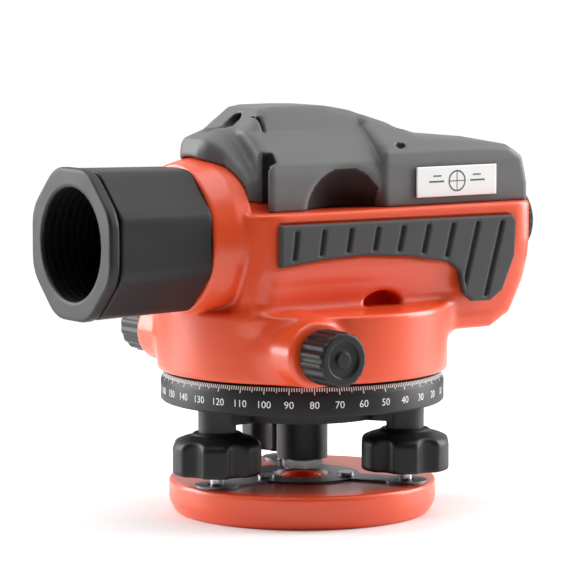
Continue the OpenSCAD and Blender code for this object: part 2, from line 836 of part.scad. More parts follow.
base_plate();
foot_spring_plate();
spring_plate_screws();
foot_ball(0);  // foot_ball_a
foot_ball(1);  // foot_ball_b
foot_ball(2);  // foot_ball_c
foot_spindle(0);  // foot_spindle_a
foot_spindle(1);  // foot_spindle_b
foot_spindle(2);  // foot_spindle_c
foot_knob(0);  // foot_knob_a
foot_knob(1);  // foot_knob_b
foot_knob(2);  // foot_knob_c
tribrach();
foot_bushes();
axis_bush();
horizontal_circle();
tangent_gear();
main_housing();
axis_spindle();
axis_nut();
circle_index();
top_cover();
cover_screws();
label_plate();
grip_left();
grip_right();
tangent_shaft();
tangent_worm();
tangent_knob(1);  // tangent_knob_left
tangent_knob(-1);  // tangent_knob_right
tangent_bushes();
objective_cell();
objective_lens();
sun_shade();
focus_guide();
focus_carriage();
focusing_lens();
focus_shaft();
focus_bush();
focus_knob();
focus_knob_cap();
eyepiece_mount();
reticle_ring();
reticle();
eyepiece_barrel();
eyepiece_lenses();
dioptre_ring();
eye_cup();
compensator_frame();
fixed_prisms();
pendulum();
pendulum_prism();
suspension_ribbons();
damper_magnets();
vial_holder();
vial_glass();
vial_screws();
mirror_bracket();
mirror_frame();
mirror_glass();
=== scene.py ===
import json
import math

import bmesh
import bpy
import numpy as np
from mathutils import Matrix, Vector


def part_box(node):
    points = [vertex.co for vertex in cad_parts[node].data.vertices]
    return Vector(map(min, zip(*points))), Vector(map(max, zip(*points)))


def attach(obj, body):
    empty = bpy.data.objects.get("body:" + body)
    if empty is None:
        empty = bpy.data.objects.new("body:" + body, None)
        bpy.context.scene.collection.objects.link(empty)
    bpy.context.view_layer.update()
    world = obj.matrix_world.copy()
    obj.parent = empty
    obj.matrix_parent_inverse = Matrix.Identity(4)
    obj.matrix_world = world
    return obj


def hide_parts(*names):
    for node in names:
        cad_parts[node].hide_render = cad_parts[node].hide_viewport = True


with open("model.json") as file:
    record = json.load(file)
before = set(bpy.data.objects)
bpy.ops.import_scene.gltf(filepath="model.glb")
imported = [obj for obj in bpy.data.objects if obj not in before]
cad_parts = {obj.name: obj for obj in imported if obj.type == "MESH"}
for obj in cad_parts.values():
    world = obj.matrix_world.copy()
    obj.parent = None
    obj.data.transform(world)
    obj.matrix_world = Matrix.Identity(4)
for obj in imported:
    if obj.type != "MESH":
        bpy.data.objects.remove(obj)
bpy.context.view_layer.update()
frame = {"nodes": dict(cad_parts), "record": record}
NODES = frame["nodes"]
MM = 0.001
# height of the telescope's axis, and of the joint between housing and cover
AXIS_Z = 101.7
SEAM_Z = 111.5
# level direction from the instrument to the camera
TO_CAMERA = (0.567, 0.824, 0.0)
# strength of the backdrop, just past pure white
WHITE_STRENGTH = 1.02

# ------------------------------------------------------------------ camera and stage

scene = bpy.context.scene
scene.view_settings.view_transform = "Standard"
scene.view_settings.look = "None"

cam_data = bpy.data.cameras.new("camera")
cam_data.lens = 202.4
cam_data.sensor_width = 36
cam_data.clip_start = 0.05
cam_data.clip_end = 60
cam = bpy.data.objects.new("camera", cam_data)
scene.collection.objects.link(cam)
cam.location = (0.65926, 0.94620, 0.20259)
cam.rotation_mode = "QUATERNION"
cam.rotation_quaternion = Vector((-0.56389, -0.81931, -0.10376)).to_track_quat("-Z", "Y")
scene.camera = cam


def node_material(name):
    m = bpy.data.materials.new(name)
    m.use_nodes = True
    nt = m.node_tree
    nt.nodes.clear()
    return m, nt


def new(nt, kind, **sockets):
    n = nt.nodes.new(kind)
    for k, v in sockets.items():
        n.inputs[k.replace("_", " ")].default_value = v
    return n


def make_floor():
    half = 0.45
    me = bpy.data.meshes.new("floor")
    corners = [(-half, -half, 0), (half, -half, 0), (half, half, 0), (-half, half, 0)]
    me.from_pydata(corners, [], [(0, 1, 2, 3)])
    ob = bpy.data.objects.new("floor", me)
    scene.collection.objects.link(ob)
    m, nt = node_material("floor")
    out = new(nt, "ShaderNodeOutputMaterial")
    bsdf = new(nt, "ShaderNodeBsdfPrincipled", Roughness=0.6)
    bsdf.inputs["Base Color"].default_value = (0.92, 0.92, 0.92, 1)
    bsdf.inputs["Specular IOR Level"].default_value = 0.2
    nt.links.new(bsdf.outputs[0], out.inputs[0])
    me.materials.append(m)


def make_world():
    w = bpy.data.worlds.new("studio")
    scene.world = w
    w.use_nodes = True
    nt = w.node_tree
    nt.nodes.clear()
    out = nt.nodes.new("ShaderNodeOutputWorld")
    bg = nt.nodes.new("ShaderNodeBackground")
    tc = nt.nodes.new("ShaderNodeTexCoord")
    dot = nt.nodes.new("ShaderNodeVectorMath")
    dot.operation = "DOT_PRODUCT"
    dot.inputs[1].default_value = TO_CAMERA
    nt.links.new(tc.outputs["Generated"], dot.inputs[0])
    # the room is bright behind the instrument and dark on the camera's side
    ramp = nt.nodes.new("ShaderNodeMapRange")
    ramp.interpolation_type = "SMOOTHSTEP"
    ramp.inputs["From Min"].default_value = 0.05
    ramp.inputs["From Max"].default_value = 0.85
    ramp.inputs["To Min"].default_value = WHITE_STRENGTH
    ramp.inputs["To Max"].default_value = 0.03
    nt.links.new(dot.outputs["Value"], ramp.inputs["Value"])
    # the room is dimmer near the horizon, so little light creeps in below the instrument
    split = nt.nodes.new("ShaderNodeSeparateXYZ")
    nt.links.new(tc.outputs["Generated"], split.inputs[0])
    height = nt.nodes.new("ShaderNodeMapRange")
    height.inputs["From Min"].default_value = 0.0
    height.inputs["From Max"].default_value = 0.45
    height.inputs["To Min"].default_value = 0.30
    height.inputs["To Max"].default_value = 1.0
    nt.links.new(split.outputs["Z"], height.inputs["Value"])
    room = nt.nodes.new("ShaderNodeMath")
    room.operation = "MULTIPLY"
    nt.links.new(ramp.outputs[0], room.inputs[0])
    nt.links.new(height.outputs[0], room.inputs[1])
    # the backdrop that the camera sees is plain white
    path = nt.nodes.new("ShaderNodeLightPath")
    seen = nt.nodes.new("ShaderNodeMix")
    seen.inputs[3].default_value = WHITE_STRENGTH
    nt.links.new(path.outputs["Is Camera Ray"], seen.inputs[0])
    nt.links.new(room.outputs[0], seen.inputs[2])
    bg.inputs["Color"].default_value = (1.0, 1.0, 1.0, 1)
    nt.links.new(seen.outputs[0], bg.inputs["Strength"])
    nt.links.new(bg.outputs[0], out.inputs[0])


def area_light(name, place, target, size, power):
    d = bpy.data.lights.new(name, "AREA")
    d.shape = "RECTANGLE"
    d.size, d.size_y = size
    d.energy = power
    ob = bpy.data.objects.new(name, d)
    scene.collection.objects.link(ob)
    ob.location = place
    ob.rotation_mode = "QUATERNION"
    ob.rotation_quaternion = (Vector(target) - Vector(place)).to_track_quat("-Z", "Y")


def make_lights():
    centre = Vector((0, 0, 0.08))
    to_camera = Vector(TO_CAMERA)
    side = Vector((-TO_CAMERA[1], TO_CAMERA[0], 0))
    behind = Vector((0, 0, 0.38)) - to_camera * 0.35
    for name, sign in (("light_right", 1), ("light_left", -1)):
        area_light(name, centre + side * 1.1 * sign + behind, centre, (0.7, 1.0), 17)
    area_light("light_top", centre + Vector((0, 0, 1.3)) + to_camera * 0.1, centre, (1.2, 1.2), 9)


make_floor()
make_world()
make_lights()

# ------------------------------------------------------------------ materials


def surface(name, colour, roughness=0.45, metallic=0.0, spec=0.5, coat=0.0, coat_rough=0.1,
            grain=900.0, grain_bump=0.05, grain_depth=0.00004, mottle=0.08, rough_var=0.08,
            streak=None, wear=0.0, wear_colour=(0.5, 0.5, 0.5), transmission=0.0, ior=1.5):
    """Mottled colour, fine grain as bump, uneven gloss and, where asked, brushed lines and worn edges."""
    m, nt = node_material(name)
    link = nt.links.new
    out = new(nt, "ShaderNodeOutputMaterial")
    b = new(nt, "ShaderNodeBsdfPrincipled")
    b.inputs["Metallic"].default_value = metallic
    b.inputs["Specular IOR Level"].default_value = spec
    b.inputs["Coat Weight"].default_value = coat
    b.inputs["Coat Roughness"].default_value = coat_rough
    b.inputs["IOR"].default_value = ior
    b.inputs["Transmission Weight"].default_value = transmission
    tc = new(nt, "ShaderNodeTexCoord")
    broad = new(nt, "ShaderNodeTexNoise")
    broad.inputs["Scale"].default_value = 60.0
    broad.inputs["Detail"].default_value = 6.0
    link(tc.outputs["Object"], broad.inputs["Vector"])
    fine = new(nt, "ShaderNodeTexNoise")
    fine.inputs["Scale"].default_value = grain
    fine.inputs["Detail"].default_value = 3.0
    if streak:
        mp = new(nt, "ShaderNodeMapping")
        mp.inputs["Scale"].default_value = streak
        link(tc.outputs["Object"], mp.inputs["Vector"])
        link(mp.outputs[0], fine.inputs["Vector"])
    else:
        link(tc.outputs["Object"], fine.inputs["Vector"])
    ramp = new(nt, "ShaderNodeMix")
    ramp.data_type = "RGBA"
    lo = [max(0.0, c * (1 - mottle)) for c in colour]
    hi = [min(1.0, c * (1 + mottle)) for c in colour]
    ramp.inputs[6].default_value = (*lo, 1)
    ramp.inputs[7].default_value = (*hi, 1)
    link(broad.outputs["Fac"], ramp.inputs[0])
    colour_out = ramp.outputs[2]
    if wear:
        geo = new(nt, "ShaderNodeNewGeometry")
        edge = new(nt, "ShaderNodeMapRange")
        edge.inputs["From Min"].default_value = 0.56
        edge.inputs["From Max"].default_value = 0.68
        link(geo.outputs["Pointiness"], edge.inputs["Value"])
        times = new(nt, "ShaderNodeMath")
        times.operation = "MULTIPLY"
        link(edge.outputs[0], times.inputs[0])
        link(broad.outputs["Fac"], times.inputs[1])
        amount = new(nt, "ShaderNodeMath")
        amount.operation = "MULTIPLY"
        amount.inputs[1].default_value = wear
        link(times.outputs[0], amount.inputs[0])
        worn = new(nt, "ShaderNodeMix")
        worn.data_type = "RGBA"
        worn.inputs[7].default_value = (*wear_colour, 1)
        link(amount.outputs[0], worn.inputs[0])
        link(colour_out, worn.inputs[6])
        colour_out = worn.outputs[2]
    link(colour_out, b.inputs["Base Color"])
    rough = new(nt, "ShaderNodeMapRange")
    rough.inputs["To Min"].default_value = max(0.02, roughness - rough_var)
    rough.inputs["To Max"].default_value = min(1.0, roughness + rough_var)
    link(broad.outputs["Fac"], rough.inputs["Value"])
    link(rough.outputs[0], b.inputs["Roughness"])
    bump = new(nt, "ShaderNodeBump")
    bump.inputs["Strength"].default_value = grain_bump
    bump.inputs["Distance"].default_value = grain_depth
    link(fine.outputs["Fac"], bump.inputs["Height"])
    link(bump.outputs[0], b.inputs["Normal"])
    link(b.outputs[0], out.inputs[0])
    return m


MAT = {
    "paint": surface("orange_paint", (0.80, 0.078, 0.018), roughness=0.36, coat=0.35, coat_rough=0.16,
        grain=1500, grain_bump=0.25, grain_depth=0.00003, mottle=0.04, wear=0.25,
        wear_colour=(0.95, 0.28, 0.12)),
    "cover": surface("cover_plastic", (0.120, 0.120, 0.122), roughness=0.50, grain=2600, grain_bump=0.6,
        grain_depth=0.00006, mottle=0.06, wear=0.25, wear_colour=(0.22, 0.22, 0.22)),
    # painted shade: a darker copy of the cover plastic, laid on the insides of the cover's hollows in place
    # of their shadow
    "hollow": surface("cover_plastic_painted_shade", (0.022, 0.022, 0.023), roughness=0.6, spec=0.3,
        grain=2600, grain_bump=0.6, grain_depth=0.00006, mottle=0.10),
    "rubber": surface("grip_rubber", (0.052, 0.052, 0.054), roughness=0.62, spec=0.35, grain=3000,
        grain_bump=0.6, grain_depth=0.00005, mottle=0.10, wear=0.3, wear_colour=(0.12, 0.12, 0.12)),
    "knob": surface("knob_plastic", (0.010, 0.010, 0.0105), roughness=0.42, spec=0.35, grain=2500,
        grain_bump=0.5, grain_depth=0.00004, mottle=0.15, wear=0.35, wear_colour=(0.10, 0.10, 0.10)),
    "black_metal": surface("black_anodised", (0.014, 0.014, 0.015), roughness=0.46, spec=0.38,
        grain=2200, grain_bump=0.35, grain_depth=0.00003, mottle=0.12, wear=0.3,
        wear_colour=(0.16, 0.16, 0.16)),
    "steel": surface("turned_steel", (0.58, 0.585, 0.60), roughness=0.30, metallic=1.0, grain=900,
        streak=(1, 1, 30), grain_bump=0.3, mottle=0.06),
    "spring": surface("spring_steel", (0.20, 0.205, 0.22), roughness=0.40, metallic=1.0, grain=600,
        streak=(30, 1, 1), grain_bump=0.3, mottle=0.10),
    "brass": surface("turned_brass", (0.72, 0.50, 0.20), roughness=0.32, metallic=1.0, grain=900,
        streak=(1, 1, 30), grain_bump=0.3, mottle=0.08),
    "alu": surface("anodised_aluminium", (0.60, 0.61, 0.63), roughness=0.38, metallic=1.0, grain=1500,
        grain_bump=0.2, mottle=0.05),
    "glass": surface("coated_glass", (0.80, 0.86, 0.90), roughness=0.05, rough_var=0.02, grain=200,
        grain_bump=0.0, mottle=0.03, transmission=1.0, ior=1.52, coat=0.4, coat_rough=0.03),
    "vial": surface("vial_liquid", (0.62, 0.85, 0.22), roughness=0.06, rough_var=0.02, grain=200,
        grain_bump=0.0, mottle=0.05, transmission=0.9, ior=1.45, coat=0.5),
    "label": surface("label_film", (0.90, 0.90, 0.885), roughness=0.30, grain=1800, grain_bump=0.1,
        mottle=0.02),
    "flock": surface("flocked_lining", (0.006, 0.006, 0.0065), roughness=0.9, spec=0.1, grain=2500,
        grain_bump=0.4, grain_depth=0.00003, mottle=0.1),
    "print": surface("label_print", (0.10, 0.105, 0.11), roughness=0.45, grain=1800, grain_bump=0.1,
        mottle=0.15),
    "mirror": surface("silvered_mirror", (0.90, 0.91, 0.92), roughness=0.05, rough_var=0.02,
        metallic=1.0, grain=300, grain_bump=0.0, mottle=0.02),
    "white": surface("white_filling", (0.80, 0.80, 0.78), roughness=0.55, grain=2500, grain_bump=0.3,
        mottle=0.06),
}
MAT_OF_SLOT = {
    "painted_body": "paint", "cover_plastic": "cover", "grip_rubber": "rubber", "knob_plastic": "knob",
    "black_metal": "black_metal", "steel": "steel", "spring_steel": "spring", "brass": "brass",
    "aluminium": "alu", "optical_glass": "glass", "vial_glass": "vial", "label_film": "label",
    "mirror_silver": "mirror",
}

for part in frame["record"]["subparts"]:
    ob = NODES[part["node"]]
    ob.data.materials.clear()
    ob.data.materials.append(MAT[MAT_OF_SLOT[part["material_slot"]]])

# ------------------------------------------------------------------ modelling tools (millimetres)


def smin(a, b, k):
    h = np.clip(0.5 + 0.5 * (b - a) / k, 0, 1)
    return b + (a - b) * h - k * h * (1 - h)


def smax(a, b, k):
    return -smin(-a, -b, k)


def poly(u, v, pts):
    """Signed distance from (u, v) to a closed outline, negative inside."""
    best, inside = None, None
    for (ax, ay), (bx, by) in zip(pts, pts[1:] + pts[:1]):
        ex, ey = bx - ax, by - ay
        wx, wy = u - ax, v - ay
        t = np.clip((wx * ex + wy * ey) / (ex * ex + ey * ey), 0, 1)
        d = (wx - ex * t) ** 2 + (wy - ey * t) ** 2
        best = d if best is None else np.minimum(best, d)
        if ay != by:
            cross = ((ay > v) != (by > v)) & (u < (bx - ax) * (v - ay) / (by - ay) + ax)
            inside = cross if inside is None else inside ^ cross
    return np.where(inside, -1.0, 1.0) * np.sqrt(best)


def slab(d2, w, w0, w1, r=0.0):
    """Extrudes a flat distance d2 from w0 to w1 with rounded rims."""
    a = d2 + r
    b = np.abs(w - (w0 + w1) / 2) - (w1 - w0) / 2 + r
    return np.minimum(np.maximum(a, b), 0) + np.hypot(np.maximum(a, 0), np.maximum(b, 0)) - r


def disc(u, v, radius):
    return np.hypot(u, v) - radius


def rect(u, v, u0, u1, v0, v1, r):
    a = np.abs(u - (u0 + u1) / 2) - (u1 - u0) / 2 + r
    b = np.abs(v - (v0 + v1) / 2) - (v1 - v0) / 2 + r
    return np.minimum(np.maximum(a, b), 0) + np.hypot(np.maximum(a, 0), np.maximum(b, 0)) - r


def block(x, y, z, lo, hi, r=0.0):
    return slab(rect(x, y, lo[0], hi[0], lo[1], hi[1], r), z, lo[2], hi[2], r)


def bar(u, v, a, b, r):
    """Distance to a round-ended bar from a to b."""
    ex, ey = b[0] - a[0], b[1] - a[1]
    t = np.clip(((u - a[0]) * ex + (v - a[1]) * ey) / (ex * ex + ey * ey), 0, 1)
    return np.hypot(u - a[0] - ex * t, v - a[1] - ey * t) - r


def fold(angle, count):
    """The angle measured from the middle of its own sector, of count equal ones."""
    sector = 2 * math.pi / count
    return (angle + sector / 2) % sector - sector / 2


def polar(r, degrees, z):
    return (r * math.cos(math.radians(degrees)), r * math.sin(math.radians(degrees)), z)


def carve(shape, lo, hi, step):
    """Meshes the zero surface of shape(x, y, z) in the box lo..hi and returns vertices and quads."""
    lo = np.array(lo, float) - 2 * step
    n = np.ceil((np.array(hi, float) + 2 * step - lo) / step).astype(int) + 1
    gx, gy, gz = [(lo[i] + step * np.arange(n[i])).astype(np.float32) for i in range(3)]
    field = shape(gx[:, None, None], gy[None, :, None], gz[None, None, :])
    field = np.broadcast_to(field, tuple(n)).astype(np.float32)
    cells = n - 1
    total = int(np.prod(cells))
    sums = np.zeros((3, total))
    count = np.zeros(total)
    crossings = []
    for a in range(3):
        b, c = (a + 1) % 3, (a + 2) % 3
        first = [slice(None)] * 3
        second = [slice(None)] * 3
        first[a], second[a] = slice(0, -1), slice(1, None)
        f0, f1 = field[tuple(first)], field[tuple(second)]
        hit = np.argwhere((f0 < 0) != (f1 < 0))
        v0 = f0[tuple(hit.T)].astype(float)
        v1 = f1[tuple(hit.T)].astype(float)
        at = hit.astype(float)
        at[:, a] += v0 / (v0 - v1)
        ids = []
        for db, dc in ((-1, -1), (0, -1), (0, 0), (-1, 0)):
            cell = hit.copy()
            cell[:, b] += db
            cell[:, c] += dc
            ids.append((cell[:, 0] * cells[1] + cell[:, 1]) * cells[2] + cell[:, 2])
        for i in ids:
            for k in range(3):
                sums[k] += np.bincount(i, at[:, k], total)
            count += np.bincount(i, None, total)
        crossings.append((np.stack(ids, 1), v0 < 0))
    used = np.flatnonzero(count)
    index = np.full(total, -1)
    index[used] = np.arange(len(used))
    verts = (sums[:, used] / count[used]).T * step + lo
    quads = []
    for ids, leaving in crossings:
        q = index[ids]
        q[~leaving] = q[~leaving][:, ::-1]
        quads.append(q)
    quads = np.concatenate(quads)
    # slide each vertex along the slope onto the surface
    eps = step * 0.1
    for _ in range(3):
        x, y, z = verts.T
        d = shape(x, y, z)
        g = np.stack([
            shape(x + eps, y, z) - shape(x - eps, y, z),
            shape(x, y + eps, z) - shape(x, y - eps, z),
            shape(x, y, z + eps) - shape(x, y, z - eps)], 1) / (2 * eps)
        move = g * (d / np.maximum((g * g).sum(1), 0.25))[:, None]
        far = np.linalg.norm(move, axis=1, keepdims=True)
        verts = verts - move * np.minimum(1, 0.6 * step / np.maximum(far, 1e-9))
    return verts, quads


def build(name, verts, faces, material, smooth=True):
    """A mesh object from vertices in millimetres and an array or a list of faces."""
    me = bpy.data.meshes.new(name)
    if isinstance(faces, np.ndarray):
        k = faces.shape[1]
        me.vertices.add(len(verts))
        me.vertices.foreach_set("co", (np.asarray(verts, float) * MM).astype(np.float32).ravel())
        me.loops.add(faces.size)
        me.loops.foreach_set("vertex_index", faces.astype(np.int32).ravel())
        me.polygons.add(len(faces))
        me.polygons.foreach_set("loop_start", np.arange(0, faces.size, k, dtype=np.int32))
        me.update(calc_edges=True)
        me.validate()
    else:
        me.from_pydata([tuple(c * MM for c in v) for v in verts], [], faces)
    if smooth:
        me.polygons.foreach_set("use_smooth", np.ones(len(me.polygons), bool))
    me.materials.append(MAT[material])
    ob = bpy.data.objects.new(name, me)
    scene.collection.objects.link(ob)
    return ob


def piece(ob, body, material, *nodes):
    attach(ob, body)
    if nodes:
        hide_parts(*nodes)
    return ob


def carved(name, shape, lo, hi, step, material, body, *nodes):
    verts, quads = carve(shape, lo, hi, step)
    return piece(build(name, verts, quads, material), body, material, *nodes)


# ------------------------------------------------------------------ main housing

BODY_SIDE = [(48, 114), (48, 72), (-30, 72), (-36, 65.5), (-62, 65.5), (-71, 70.5), (-77, 82),
             (-81.6, 98), (-81.6, 114)]
BODY_FRONT = [(37.2, 114), (37.2, 97), (36.4, 91), (34.6, 86), (33.4, 80), (33, 72), (33.5, 60),
              (-33.5, 60), (-33, 72), (-33.4, 80), (-34.6, 86), (-36.4, 91), (-37.2, 97), (-37.2, 114)]
GRIP = [(35.7, 108.0), (-67, 107.2), (-68.8, 105.2), (-68.2, 92), (-62.6, 79.6), (-57, 76.0), (-48.5, 76.2),
        (-44.2, 79.6), (-42.4, 87.6), (-38, 91), (-21, 94), (-1, 95.5), (18, 94.7), (35.7, 92.8)]
# the right grip starts further back, behind the focusing knob
GRIP_RIGHT_FRONT = -26.2
# (x, z) of the focusing shaft and of the tangent screw
FOCUS = (-6.0, 93.5)
WORM = (28.0, 63.2)


def grip_outline(x, z, right):
    d = poly(x, z, GRIP)
    return np.maximum(d, x - GRIP_RIGHT_FRONT) if right else d


def housing(x, y, z):
    r = disc(x, y, 52.8)
    drum = slab(r, z, 52.0, 76.2, 1.4)
    plan = rect(x, y, -81.6, 43, -37.2, 37.2, 12)
    pod = smax(smax(plan, poly(x, z, BODY_SIDE), 5.0), poly(y, z, BODY_FRONT), 4.0)
    # hooded hollow in the left flank
    arch = slab(smax(disc(x + 11.5, z - 70.6, 11.6), 74.4 - z, 0.5), y, 24.5, 60, 0.8)
    pod = smax(pod, -arch, 1.2)
    # open corner for the vial, and the seat of the focusing knob
    pod = smax(pod, -block(x, y, z, (12.5, -70, 70), (60, -22, 107.7), 2.0), 1.0)
    pod = smax(pod, -slab(disc(x - FOCUS[0], z - FOCUS[1], 17.4), y, -70, -30, 1.0), 1.0)
    neck = slab(disc(y, z - AXIS_Z, 25.8), x, 30, 46, 0.5)
    foot = block(x, y, z, (20, -17, 66), (46, 17, 84), 4)
    cone = disc(y, z - AXIS_Z, 28.5) + 0.26 * np.maximum(x - 46.5, 0)
    collar = slab(cone, x, 39.5, 54.9, 0.8)
    niche = block(x, y, z, (12.5, -70, 70), (43.1, -22, 107.7), 1.0)
    boss = slab(disc(x - WORM[0], z - WORM[1], 12), np.abs(y), 30, 50.3, 1.6)
    low = smin(drum, smax(pod, z - SEAM_Z, 0.8), 4.5)
    low = smin(low, foot, 3.5)
    ring = smax(smin(neck, collar, 1.5), -niche, 1.0)
    d = smin(low, ring, 1.2)
    d = smin(d, boss, 4.0)
    # beds of the grips
    left = slab(grip_outline(x, z, False) - 0.35, y, 35.6, 60)
    right = slab(grip_outline(x, z, True) - 0.35, y, -60, -35.6)
    d = smax(d, -np.minimum(left, right), 0.5)
    # hollows, as in the solid model
    inner = slab(disc(x, y, 50.2), z, 40, 73.2, 1.0)
    trunk = slab(rect(x, y, -79, 32, -19.4, 19.4, 6), z, 77, 130, 1.0)
    trunk = smax(trunk, -(x + 72) - 0.32 * (z - 77), 1.0)
    chest = slab(rect(x, y, -75.5, -15, -24, 33.2, 9), z, 88, 108.5, 1.0)
    mouth = slab(rect(x, y, -79, -15, -24, 28.6, 6), z, 100, 130, 0.5)
    d = smax(smax(d, 52.0 - z, 0.6), -np.minimum(np.minimum(inner, trunk), np.minimum(chest, mouth)), 0.4)
    bores = np.minimum(
        np.minimum(slab(disc(y, z - AXIS_Z, 24.05), x, 43.6, 80), slab(disc(y, z - AXIS_Z, 19), x, 20, 60)),
        np.minimum(slab(disc(x - WORM[0], z - WORM[1], 4.6), y, -80, 80),
                   slab(disc(x - FOCUS[0], z - FOCUS[1], 5.2), y, -80, -15)))
    bores = np.minimum(bores, np.minimum(slab(disc(y, z - AXIS_Z, 13.05), x, -99, -70),
                                         slab(disc(x, y, 5), z, 66, 78)))
    d = np.maximum(d, -bores)
    return d


carved("housing", housing, (-82, -53, 52.0), (55, 53, 130.3), 0.8, "paint", "alidade", "main_housing")

# ------------------------------------------------------------------ top cover

COVER_SIDE = [(49.2, 100), (49.2, 132.0), (46.5, 136.8), (39.5, 140.2), (32.5, 140.6), (29.0, 143.6),
              (25.5, 147.0), (20.5, 148.0), (8, 148.1), (-2, 147.7), (-13, 145.6), (-26, 141.2),
              (-36, 137.0), (-56, 135.2), (-72, 132.2), (-78, 127.8), (-80.6, 118), (-81.2, 100)]
COVER_FRONT = [(-30.0, 100), (30.0, 100), (30.0, 124.0), (28.4, 128.2), (24.8, 132.2), (15.6, 139.6),
               (11.0, 149), (-11.0, 149), (-15.6, 139.6), (-24.8, 132.2), (-28.4, 128.2), (-30.0, 124.0)]
REAR_FRONT = [(-31.6, 100), (31.6, 100), (31.6, 127.0), (30.6, 131), (27.6, 134.0), (16.5, 141), (11.0, 149),
              (-11.0, 149), (-16.5, 141), (-27.6, 134.0), (-30.6, 131), (-31.6, 127.0)]
LABEL = [(-27.8, 114.2), (-64.4, 114.2), (-64.4, 125.6), (-27.8, 125.6)]
COVER_SCREWS = [(-62, 16), (-62, -16), (-30, 17)]
SIGHT_Z = 141.8
NOSE_FRONT = [(-23.5, 114.8), (23.5, 114.8), (23.5, 121), (19, 127), (12, 133.8), (6, 139.3), (3.5, 142),
              (-3.5, 142), (-6, 139.3), (-12, 133.8), (-19, 127), (-23.5, 121)]
NOSE_PLAN = [(20, -23.5), (39.2, -23.5), (42.5, -13), (47, -8.5), (49.4, -5), (49.4, 5), (47, 8.5),
             (42.5, 13), (39.2, 23.5), (20, 23.5)]


def scoop(x, ay, z):
    """Thumb hollow in each flank, ending at the step of the rear block."""
    wide, deep, high = (x - 1.0) / 1.06, (ay - 42.5) / 1.14, (z - 110) / 1.02
    bowl = np.sqrt(wide ** 2 + deep ** 2 + high ** 2) - 20.0
    return smax(bowl, -(x + 13.8) + (z - 118) * 0.05, 0.8)


def slit(x, ay, z):
    """Upright groove between the nose and each flank."""
    return smax(block(x, ay, z, (30.0, 22.7, 100), (60, 27.4, 132), 0.8), x - 40, 0.3)


def dimple(x, ay, z):
    """Small blind recess in each shoulder, just behind the step."""
    half_x, half_y, half_z = 2.2, 1.5, 1.1
    wide, deep, high = (x + 23.2) / half_x, (ay - 28.3) / half_y, (z - 133.2) / half_z
    return (np.sqrt(wide ** 2 + deep ** 2 + high ** 2) - 1.0) * half_z


def cover(x, y, z):
    ay = np.abs(y)
    side = poly(x, z, COVER_SIDE)
    flank = smax(rect(x, y, -40, 34.5, -30.0, 30.0, 3.2), poly(y, z, COVER_FRONT), 4.0)
    rear = smax(rect(x, y, -81.2, -14.2, -31.6, 31.6, 2.2), poly(y, z, REAR_FRONT), 4.0)
    body = smax(smin(flank, rear, 0.6), side, 3.0)
    nose = smax(smax(poly(x, y, NOSE_PLAN), poly(y, z, NOSE_FRONT), 2.5), side, 2.5)
    d = smin(body, nose, 1.6)
    d = smax(d, -scoop(x, ay, z), 1.8)
    d = smax(d, -slit(x, ay, z), 0.6)
    d = smax(d, -dimple(x, ay, z), 0.2)
    # sighting tube, wide in front, and the slot in its side
    d = smax(d, -slab(disc(y, z - SIGHT_Z, 3.3), x, 15, 70, 0.3), 0.5)
    d = smax(d, -slab(disc(y, z - SIGHT_Z, 1.6), x, -70, 70), 0.4)
    d = smax(d, -slab(bar(x, z, (27.4, 139.4), (27.4, 143.4), 0.7), y, 9.0, 40), 0.5)
    # bed of the label, and the screw wells
    d = smax(d, -slab(poly(x, z, LABEL) - 0.9, y, 31.15, 60), 0.4)
    for sx, sy in COVER_SCREWS:
        d = smax(d, -slab(disc(x - sx, y - sy, 2.9), z, 130.4, 170), 0.4)
    d = smax(d, SEAM_Z - z, 0.4)
    # where it fits over the telescope
    fit = np.minimum(slab(disc(y, z - AXIS_Z, 28.7), x, 39.2, 80), slab(disc(y, z - AXIS_Z, 26), x, 28, 80))
    fit = np.minimum(fit, slab(disc(y, z - AXIS_Z, 13.1), x, -99, -55))
    d = np.maximum(d, -fit)
    inside = np.minimum(slab(rect(x, y, -78.6, -17, -28, 28, 7), z, 90, 126.5, 2.0),
                        slab(rect(x, y, -30, 28, -17.5, 17.5, 5), z, 90, 131.0, 2.0))
    inside = smax(inside, side + 3.2, 1.0)
    return smax(d, -inside, 0.5)


top = carved("cover", cover, (-81.5, -32, SEAM_Z), (49.5, 32, 148.2), 0.7, "cover",
             "alidade", "top_cover")
# the thumb hollows, grooves and blind recesses get painted shade: their faces take a darker copy of the cover
# plastic in place of the shadow inside them
top.data.materials.append(MAT["hollow"])
centres = np.zeros(len(top.data.polygons) * 3, np.float32)
top.data.polygons.foreach_get("center", centres)
fx, fy, fz = centres.reshape(-1, 3).T / MM
fy = np.abs(fy)
# faces inside the thumb hollows, the grooves and the blind recesses, which get the painted shade
painted_shade_faces = (scoop(fx, fy, fz) < 0.35) & (fy > 17) & (fx > -13.4) & (fx < 24) & (fy < 28.2)
painted_shade_faces |= (slit(fx, fy, fz) < 0.2) & (fx < 33.0)
painted_shade_faces |= dimple(fx, fy, fz) < 0.1
top.data.polygons.foreach_set("material_index", painted_shade_faces.astype(np.int32))

# ------------------------------------------------------------------ grips

# top end of each groove between the ribs, and how far it leans back on its way down
GROOVES = [(28.4, 0.14), (16.9, 0.16), (5.2, 0.20), (-6.5, 0.23), (-17.7, 0.26), (-28.9, 0.27), (-40.0, 0.28),
           (-51.2, 0.29), (-62.4, 0.30)]


def grip(right):
    def shape(x, y, z):
        y = -y if right else y
        edge = grip_outline(x, z, right)
        # flat pad with a rounded rim
        d = slab(edge + 0.2, y, 35.8, 38.4, 0.9)
        for start, lean in GROOVES:
            line = bar(x, z, (start + 0.2, 105.0), (start + lean * 34, 69.6), 0.7)
            line = smax(line, edge + 2.0, 0.8)
            d = smax(d, -slab(line, y, 36.9, 60, 0.3), 1.1)
        return d
    return shape


carved("grip_left_rubber", grip(False), (-69.5, 35.4, 75), (36.5, 38.8, 107), 0.42,
       "rubber", "alidade", "grip_left")
carved("grip_right_rubber", grip(True), (-69.5, -38.8, 75), (-25, -35.4, 107), 0.42,
       "rubber", "alidade", "grip_right")

# ------------------------------------------------------------------ sun shade


